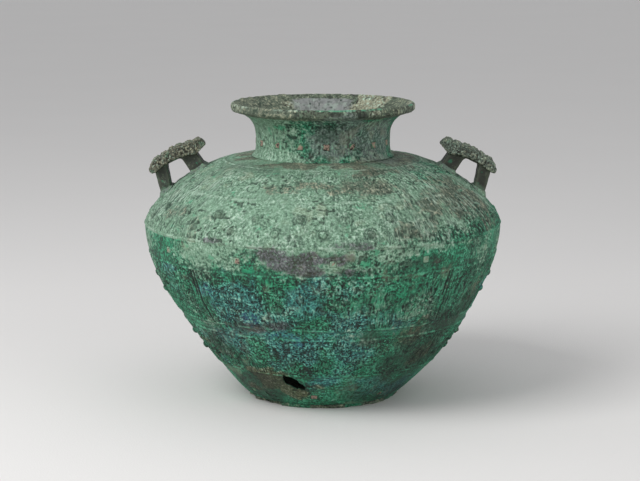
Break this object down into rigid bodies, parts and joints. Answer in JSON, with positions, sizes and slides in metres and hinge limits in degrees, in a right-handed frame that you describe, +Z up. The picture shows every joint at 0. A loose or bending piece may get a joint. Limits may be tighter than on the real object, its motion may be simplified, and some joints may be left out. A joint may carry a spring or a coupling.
{
  "type": "bronze wine jar",
  "caption": "Broad-shouldered cast bronze lei wine jar with a short flared neck, bands of bossed relief and two strap handles with coiled crests on the shoulder.",
  "frame": {"origin": "centre of the foot, on the surface that the jar stands on", "axes": "+Z up along the axis of the neck and body, X through the two handles, front towards -Y"},
  "size_m": [0.3826, 0.3826, 0.315],
  "materials": {
    "cast_bronze": "matte green patina over cast bronze",
    "handle_bronze": "smooth dark patina",
    "crest_bronze": "rough olive crust",
    "chaplet_bronze": "reddish oxide",
    "solder": "dull grey, weathered"
  },
  "bodies": {
    "root": {"base_plate": "cast_bronze", "lower_belly": "cast_bronze", "shoulder": "cast_bronze", "neck": "cast_bronze", "left_handle_loop": "handle_bronze", "right_handle_loop": "handle_bronze", "left_handle_tenons": "handle_bronze", "right_handle_tenons": "handle_bronze", "left_handle_crest": "crest_bronze", "right_handle_crest": "crest_bronze", "base_chaplets": "chaplet_bronze", "foot_chaplets": "chaplet_bronze", "belt_chaplets": "chaplet_bronze", "neck_chaplets": "chaplet_bronze", "left_handle_solder": "solder", "right_handle_solder": "solder"}
  },
  "joints": []
}
